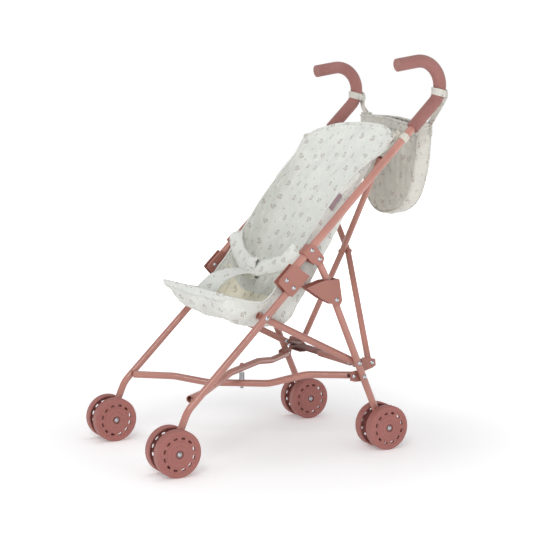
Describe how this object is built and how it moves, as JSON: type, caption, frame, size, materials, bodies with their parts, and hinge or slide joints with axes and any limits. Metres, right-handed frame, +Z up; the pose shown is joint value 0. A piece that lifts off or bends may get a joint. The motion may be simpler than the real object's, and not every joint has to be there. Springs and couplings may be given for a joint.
{
  "type": "doll stroller",
  "caption": "Folding doll stroller with cane handles, rose metal tube frame, twin wheels, crossed braces, a rear lock and a cotton sling seat with a rear bag.",
  "frame": {"origin": "on the floor, under the centre of the whole box", "axes": "+Z up, front faces -Y, the stroller's own left side is +X"},
  "size_m": [0.2666, 0.4572, 0.5562],
  "materials": {
    "frame_paint": "satin dusty rose enamel",
    "bracket_paint": "satin rose enamel on folded steel",
    "lock_paint": "satin darker rose enamel",
    "wheel_plastic": "moulded, satin",
    "grip_foam": "matte foam",
    "rivet_steel": "zinc plated",
    "sling_cotton": "crinkled cotton muslin with small printed sprigs",
    "bag_cotton": "crinkled cotton muslin with small printed sprigs",
    "elastic": "knitted elastic",
    "label_cloth": "woven patch"
  },
  "bodies": {
    "rear_right": {"rear_leg_right": "frame_paint", "rear_brace_bracket_right": "bracket_paint", "rear_rivets_right": "rivet_steel", "rear_axle_right": "rivet_steel", "upper_link_right": "frame_paint", "knee_plate_right": "bracket_paint"},
    "handle_right": {"handle_tube_right": "frame_paint", "grip_right": "grip_foam", "upper_bracket_right": "bracket_paint", "handle_rivets_right": "rivet_steel", "elastic_loop_right": "elastic", "bag_loop_right": "bag_cotton", "seat_back": "sling_cotton", "label_patch": "label_cloth", "storage_bag": "bag_cotton"},
    "front_right": {"front_leg_right": "frame_paint", "elbow_plate_right": "bracket_paint", "front_brace_bracket_right": "bracket_paint", "front_rivets_right": "rivet_steel", "front_axle_right": "rivet_steel", "seat_base": "sling_cotton", "crotch_strap": "sling_cotton", "seat_side_right": "sling_cotton", "seat_side_left": "sling_cotton"},
    "seat_tube_right": {"seat_tube_right": "frame_paint"},
    "front_wheel_outer_right": {"front_wheel_outer_right": "wheel_plastic"},
    "front_wheel_inner_right": {"front_wheel_inner_right": "wheel_plastic"},
    "rear_wheel_outer_right": {"rear_wheel_outer_right": "wheel_plastic"},
    "rear_wheel_inner_right": {"rear_wheel_inner_right": "wheel_plastic"},
    "rear_left": {"rear_leg_left": "frame_paint", "rear_brace_bracket_left": "bracket_paint", "rear_rivets_left": "rivet_steel", "rear_axle_left": "rivet_steel", "upper_link_left": "frame_paint", "knee_plate_left": "bracket_paint"},
    "handle_left": {"handle_tube_left": "frame_paint", "grip_left": "grip_foam", "upper_bracket_left": "bracket_paint", "handle_rivets_left": "rivet_steel", "elastic_loop_left": "elastic", "bag_loop_left": "bag_cotton"},
    "front_left": {"front_leg_left": "frame_paint", "elbow_plate_left": "bracket_paint", "front_brace_bracket_left": "bracket_paint", "front_rivets_left": "rivet_steel", "front_axle_left": "rivet_steel"},
    "seat_tube_left": {"seat_tube_left": "frame_paint"},
    "front_wheel_outer_left": {"front_wheel_outer_left": "wheel_plastic"},
    "front_wheel_inner_left": {"front_wheel_inner_left": "wheel_plastic"},
    "rear_wheel_outer_left": {"rear_wheel_outer_left": "wheel_plastic"},
    "rear_wheel_inner_left": {"rear_wheel_inner_left": "wheel_plastic"},
    "back_arm_front": {"back_brace_front_arm": "frame_paint"},
    "back_arm_rear": {"back_brace_rear_arm": "frame_paint"},
    "lower_arm_high": {"lower_brace_high_arm": "frame_paint"},
    "lower_arm_low": {"lower_brace_low_arm": "frame_paint", "brace_spacer": "rivet_steel"},
    "lock_left": {"lock_arm_left": "bracket_paint"},
    "lock_right": {"lock_arm_right": "lock_paint"}
  },
  "joints": [
    {"name": "fold", "type": "slide", "parent": "rear_right", "child": "rear_left", "axis": [-1, 0, 0], "range_m": [0, 0.117], "deforming": ["seat_back", "seat_base", "crotch_strap", "storage_bag", "label_patch", "seat_side_left", "seat_side_right"]},
    {"name": "handle_pivot_right", "type": "hinge", "parent": "rear_right", "child": "handle_right", "pos_m": [-0.1104, 0.01963, 0.2751], "axis": [1, 0, 0], "range_deg": [0, 38.57]},
    {"name": "front_pivot_right", "type": "hinge", "parent": "handle_right", "child": "front_right", "pos_m": [-0.1104, -0.03168, 0.2484], "axis": [1, 0, 0], "range_deg": [-82.01, 0]},
    {"name": "seat_tube_pivot_right", "type": "hinge", "parent": "rear_right", "child": "seat_tube_right", "pos_m": [-0.1104, 0.08732, 0.125], "axis": [1, 0, 0], "range_deg": [-4.95, 0]},
    {"name": "front_wheel_outer_right_spin", "type": "hinge", "parent": "front_right", "child": "front_wheel_outer_right", "pos_m": [-0.1104, -0.19653, 0.0315], "axis": [1, 0, 0], "continuous": true},
    {"name": "front_wheel_inner_right_spin", "type": "hinge", "parent": "front_right", "child": "front_wheel_inner_right", "pos_m": [-0.1104, -0.19653, 0.0315], "axis": [1, 0, 0], "continuous": true},
    {"name": "rear_wheel_outer_right_spin", "type": "hinge", "parent": "rear_right", "child": "rear_wheel_outer_right", "pos_m": [-0.1104, 0.12818, 0.0315], "axis": [1, 0, 0], "continuous": true},
    {"name": "rear_wheel_inner_right_spin", "type": "hinge", "parent": "rear_right", "child": "rear_wheel_inner_right", "pos_m": [-0.1104, 0.12818, 0.0315], "axis": [1, 0, 0], "continuous": true},
    {"name": "handle_pivot_left", "type": "hinge", "parent": "rear_left", "child": "handle_left", "pos_m": [0.1104, 0.01963, 0.2751], "axis": [1, 0, 0], "range_deg": [0, 38.57]},
    {"name": "front_pivot_left", "type": "hinge", "parent": "handle_left", "child": "front_left", "pos_m": [0.1104, -0.03168, 0.2484], "axis": [1, 0, 0], "range_deg": [-82.01, 0]},
    {"name": "seat_tube_pivot_left", "type": "hinge", "parent": "rear_left", "child": "seat_tube_left", "pos_m": [0.1104, 0.08732, 0.125], "axis": [1, 0, 0], "range_deg": [-4.95, 0]},
    {"name": "front_wheel_outer_left_spin", "type": "hinge", "parent": "front_left", "child": "front_wheel_outer_left", "pos_m": [0.1104, -0.19653, 0.0315], "axis": [1, 0, 0], "continuous": true},
    {"name": "front_wheel_inner_left_spin", "type": "hinge", "parent": "front_left", "child": "front_wheel_inner_left", "pos_m": [0.1104, -0.19653, 0.0315], "axis": [1, 0, 0], "continuous": true},
    {"name": "rear_wheel_outer_left_spin", "type": "hinge", "parent": "rear_left", "child": "rear_wheel_outer_left", "pos_m": [0.1104, 0.12818, 0.0315], "axis": [1, 0, 0], "continuous": true},
    {"name": "rear_wheel_inner_left_spin", "type": "hinge", "parent": "rear_left", "child": "rear_wheel_inner_left", "pos_m": [0.1104, 0.12818, 0.0315], "axis": [1, 0, 0], "continuous": true},
    {"name": "back_arm_front_pivot", "type": "hinge", "parent": "rear_right", "child": "back_arm_front", "pos_m": [-0.0954, 0.11482, 0.122], "axis": [0.6578, -0.7435, -0.1209], "range_deg": [0, 28.04]},
    {"name": "back_arm_rear_pivot", "type": "hinge", "parent": "rear_left", "child": "back_arm_rear", "pos_m": [0.0954, 0.11482, 0.122], "axis": [0.6578, 0.7435, 0.1209], "range_deg": [0, 28.04]},
    {"name": "lower_arm_high_pivot", "type": "hinge", "parent": "rear_right", "child": "lower_arm_high", "pos_m": [-0.0944, 0.08532, 0.105], "axis": [-0.6729, -0.1514, -0.7241], "range_deg": [0, 32]},
    {"name": "lower_arm_low_pivot", "type": "hinge", "parent": "rear_left", "child": "lower_arm_low", "pos_m": [0.0944, 0.08532, 0.105], "axis": [-0.6729, 0.1514, 0.7241], "range_deg": [0, 32]},
    {"name": "lock_pivot_right", "type": "hinge", "parent": "rear_right", "child": "lock_right", "pos_m": [-0.0864, 0.09183, 0.121], "axis": [0, -1, 0], "range_deg": [0, 62.48]},
    {"name": "lock_pivot_left", "type": "hinge", "parent": "rear_left", "child": "lock_left", "pos_m": [0.0864, 0.09183, 0.121], "axis": [0, 1, 0], "range_deg": [0, 62.48]}
  ],
  "couplings": [
    {"joint": "handle_pivot_right", "follows": "fold", "rad_per_m": 5.7535},
    {"joint": "front_pivot_right", "follows": "fold", "rad_per_m": -12.234},
    {"joint": "seat_tube_pivot_right", "follows": "fold", "rad_per_m": -0.73891},
    {"joint": "handle_pivot_left", "follows": "fold", "rad_per_m": 5.7535},
    {"joint": "front_pivot_left", "follows": "fold", "rad_per_m": -12.234},
    {"joint": "seat_tube_pivot_left", "follows": "fold", "rad_per_m": -0.73891},
    {"joint": "back_arm_front_pivot", "follows": "fold", "rad_per_m": 4.1821},
    {"joint": "back_arm_rear_pivot", "follows": "fold", "rad_per_m": 4.1821},
    {"joint": "lower_arm_high_pivot", "follows": "fold", "rad_per_m": 4.7736},
    {"joint": "lower_arm_low_pivot", "follows": "fold", "rad_per_m": 4.7736},
    {"joint": "lock_pivot_right", "follows": "fold", "rad_per_m": 9.3209},
    {"joint": "lock_pivot_left", "follows": "fold", "rad_per_m": 9.3209}
  ]
}
